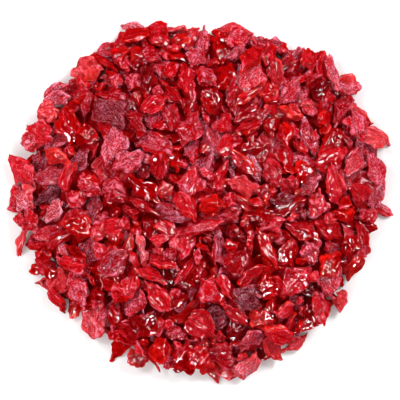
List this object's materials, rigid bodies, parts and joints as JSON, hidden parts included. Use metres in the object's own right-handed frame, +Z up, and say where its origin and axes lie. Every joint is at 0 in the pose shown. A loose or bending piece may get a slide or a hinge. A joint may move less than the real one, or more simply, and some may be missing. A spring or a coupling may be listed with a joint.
{
  "type": "heap of dried cranberries",
  "caption": "Loose round heap of chopped dried cranberries: pointed slices, crumpled lumps and curled skins lying over one another in a low dome on a flat underside.",
  "frame": {"origin": "middle of the flat underside of the heap", "axes": "+Z up, +X to the right in the picture, +Y towards the top of the picture"},
  "size_m": [0.1216, 0.1148, 0.0272],
  "materials": {
    "dried_cranberry": "sticky translucent red flesh, wet and shiny on some bits and frosted pink on others, with darker maroon skins"
  },
  "bodies": {
    "root": {"cranberry_heap": "dried_cranberry"}
  },
  "joints": []
}
